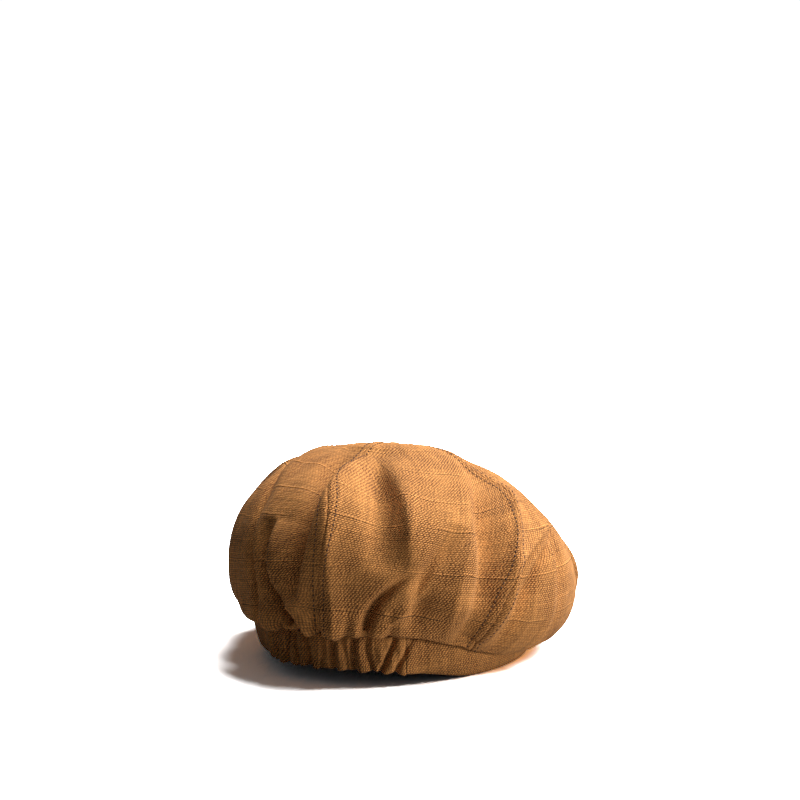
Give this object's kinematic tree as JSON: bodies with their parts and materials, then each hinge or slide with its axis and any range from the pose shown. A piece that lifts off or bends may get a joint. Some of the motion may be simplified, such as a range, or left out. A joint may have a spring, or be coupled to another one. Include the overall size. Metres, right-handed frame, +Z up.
{
  "type": "newsboy cap",
  "caption": "Child's slouchy newsboy cap: a full panelled crown over a narrow band gathered by elastic at the back, with a short stiffened brim and a cloth-covered button on top.",
  "frame": {"origin": "centre of the head opening, in the plane of the band's lower edge at the sides", "axes": "+Z up out of the head opening, -Y towards the brim, +X the wearer's left"},
  "size_m": [0.1866, 0.2314, 0.1145],
  "materials": {
    "shell_twill": "coarse slub twill, camel brown, unpressed",
    "lining_cotton": "plain-woven cotton, dark navy, matt",
    "sweatband_cotton": "close cotton twill, dark navy, matt",
    "interfacing": "non-woven stiffening cloth, off-white",
    "elastic": "knitted elastic, off-white, ribbed",
    "brim_plastic": "polyethylene sheet, milky, matt",
    "button_metal": "plain stamped steel",
    "button_thread": "twisted polyester thread",
    "label_cloth": "blank woven tape, off-white"
  },
  "bodies": {
    "cap": {"crown_panel_back_left": "shell_twill", "crown_panel_back_right": "shell_twill", "crown_panel_side_left": "shell_twill", "crown_panel_side_right": "shell_twill", "crown_panel_front_left": "shell_twill", "crown_panel_front_right": "shell_twill", "lining_panel_back_left": "lining_cotton", "lining_panel_back_right": "lining_cotton", "lining_panel_side_left": "lining_cotton", "lining_panel_side_right": "lining_cotton", "lining_panel_front_left": "lining_cotton", "lining_panel_front_right": "lining_cotton", "band_front": "shell_twill", "band_interfacing": "interfacing", "sweatband_front": "sweatband_cotton", "brim_top_cover": "shell_twill", "brim_board": "brim_plastic", "brim_under_cover": "shell_twill", "button_cover": "shell_twill", "button_shell": "button_metal", "button_back": "button_metal", "button_thread": "button_thread", "size_label": "label_cloth"},
    "elastic_back": {"band_back_casing": "shell_twill", "sweatband_back": "sweatband_cotton", "elastic_strap": "elastic"}
  },
  "joints": [
    {"name": "elastic_back_stretch", "type": "slide", "parent": "cap", "child": "elastic_back", "axis": [0, 1, 0], "range_m": [0, 0.01], "stiffness_N_per_m": 300}
  ]
}
